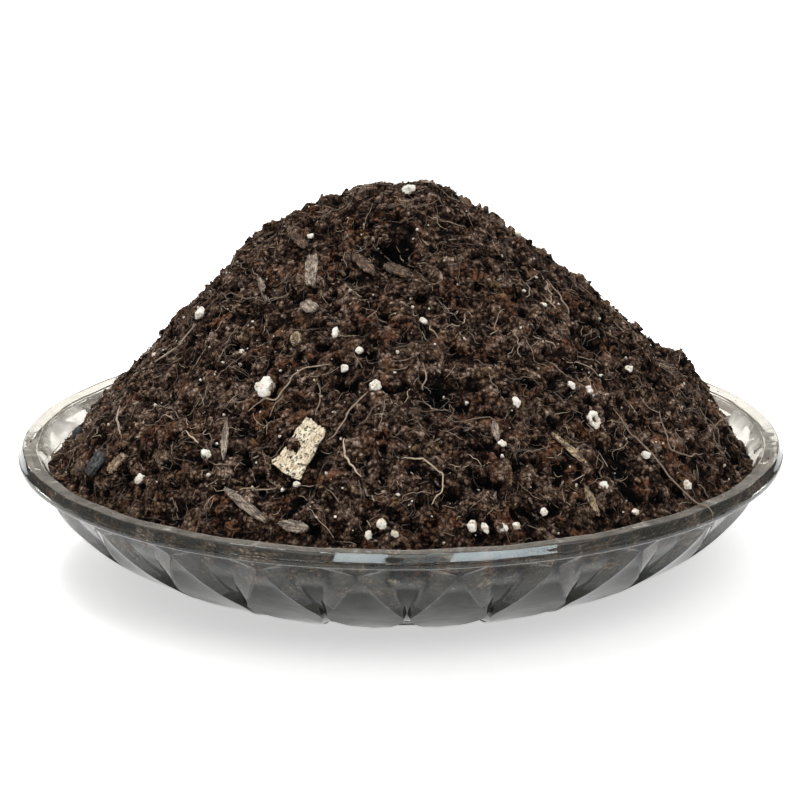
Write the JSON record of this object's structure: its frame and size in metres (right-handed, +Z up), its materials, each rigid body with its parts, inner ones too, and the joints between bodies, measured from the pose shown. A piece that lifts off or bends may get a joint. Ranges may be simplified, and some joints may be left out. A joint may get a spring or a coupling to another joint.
{
  "type": "dish of potting mix",
  "caption": "Shallow pressed-glass dish heaped with dark moist potting mix, with white perlite, bark chips, straw and fine roots on the heap",
  "frame": {"origin": "centre of the dish's foot, on the surface that it stands on", "axes": "+Z up, the front of the heap faces -Y"},
  "size_m": [0.184, 0.184, 0.0969],
  "materials": {
    "glass": "clear pressed glass, faintly grey-green, fire-polished",
    "potting_mix": "moist crumbly peat and bark compost, dark brown, matt",
    "perlite": "expanded volcanic glass, off-white, rough and porous",
    "flake": "pale dry husk flake, speckled with soil",
    "wood": "weathered grey-brown wood, matt",
    "bark": "dark brown bark, rough",
    "straw": "straw and pale split wood, matt",
    "charcoal": "charred dark chip, slightly shiny",
    "root": "fine dry root, brown"
  },
  "bodies": {
    "root": {"glass_dish": "glass", "potting_mix": "potting_mix", "perlite_grain_01": "perlite", "perlite_grain_02": "perlite", "perlite_grain_03": "perlite", "perlite_grain_04": "perlite", "perlite_grain_05": "perlite", "perlite_grain_06": "perlite", "perlite_grain_07": "perlite", "perlite_grain_08": "perlite", "perlite_grain_09": "perlite", "perlite_grain_10": "perlite", "perlite_grain_11": "perlite", "perlite_grain_12": "perlite", "perlite_grain_13": "perlite", "perlite_grain_14": "perlite", "perlite_grain_15": "perlite", "perlite_grain_16": "perlite", "perlite_grain_17": "perlite", "perlite_grain_18": "perlite", "perlite_grain_19": "perlite", "perlite_grain_20": "perlite", "perlite_grain_21": "perlite", "perlite_grain_22": "perlite", "perlite_grain_23": "perlite", "perlite_grain_24": "perlite", "pale_flake": "flake", "wood_chip_grey": "wood", "bark_curl": "bark", "bark_chip_top": "bark", "bark_chip_middle": "bark", "stick_grey": "wood", "bark_chip_pale": "wood", "sliver_left": "wood", "straw_chip_upper": "straw", "straw_chip_lower": "straw", "sliver_middle": "wood", "charcoal_chip": "charcoal", "bark_lump": "bark", "bark_chip_tan": "straw", "bark_chip_dark": "charcoal", "bark_chip_front": "wood", "stick_front": "wood", "bark_knot": "straw", "root_left": "root", "root_middle": "root", "root_wavy": "root", "root_right": "root", "root_high": "root", "root_short": "root", "straw_left": "straw", "straw_middle": "straw", "straw_back_left": "straw", "root_over_rim": "root"}
  },
  "joints": []
}
